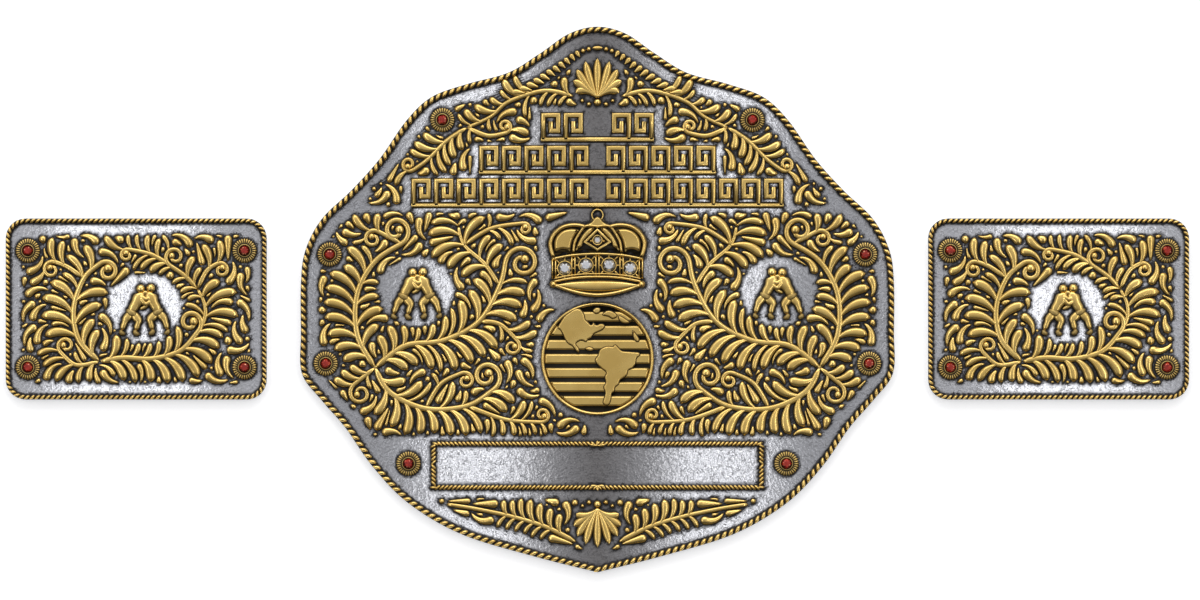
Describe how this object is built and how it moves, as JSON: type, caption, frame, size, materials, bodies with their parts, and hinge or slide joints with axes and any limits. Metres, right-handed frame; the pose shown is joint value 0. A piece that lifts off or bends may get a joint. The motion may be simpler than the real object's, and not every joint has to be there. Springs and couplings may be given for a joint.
{
  "type": "championship title belt plates",
  "caption": "Shield-shaped centre plate and oblong side plates of a title belt, silver with raised gold scrollwork, crown, globe, rope edges and cut stones.",
  "frame": {"origin": "middle of the whole set of plates, on their flat backs", "axes": "+X along the belt, +Y up as worn, +Z out of the plates' faces"},
  "size_m": [0.5986, 0.276, 0.009],
  "materials": {
    "silver": "hammered bright nickel with dark antiquing in its hollows",
    "gold": "polished gold plate with dark antiquing round the relief",
    "red_stone": "faceted foil-backed red glass",
    "white_stone": "faceted foil-backed clear glass"
  },
  "bodies": {
    "root": {"main_plate": "silver", "left_plate": "silver", "right_plate": "silver", "main_rope": "gold", "left_rope": "gold", "right_rope": "gold", "name_frame": "gold", "crown": "gold", "globe": "gold", "fret_upper": "gold", "fret_middle": "gold", "fret_lower": "gold", "left_scroll": "gold", "right_scroll": "gold", "crest_scroll": "gold", "foot_scroll": "gold", "left_plate_scroll": "gold", "right_plate_scroll": "gold", "wrestlers_main_left": "gold", "wrestlers_main_right": "gold", "wrestlers_left": "gold", "wrestlers_right": "gold", "rosette_01": "gold", "rosette_02": "gold", "rosette_03": "gold", "rosette_04": "gold", "rosette_05": "gold", "rosette_06": "gold", "rosette_07": "gold", "rosette_08": "gold", "rosette_09": "gold", "rosette_10": "gold", "rosette_11": "gold", "rosette_12": "gold", "rosette_13": "gold", "rosette_14": "gold", "rosette_15": "gold", "rosette_16": "gold", "red_stone_01": "red_stone", "red_stone_02": "red_stone", "red_stone_03": "red_stone", "red_stone_04": "red_stone", "red_stone_05": "red_stone", "red_stone_06": "red_stone", "red_stone_07": "red_stone", "red_stone_08": "red_stone", "red_stone_09": "red_stone", "red_stone_10": "red_stone", "red_stone_11": "red_stone", "red_stone_12": "red_stone", "red_stone_13": "red_stone", "red_stone_14": "red_stone", "red_stone_15": "red_stone", "red_stone_16": "red_stone", "crown_stone_1": "white_stone", "crown_stone_2": "white_stone", "crown_stone_3": "white_stone", "crown_stone_4": "white_stone", "crown_stone_5": "white_stone"}
  },
  "joints": []
}
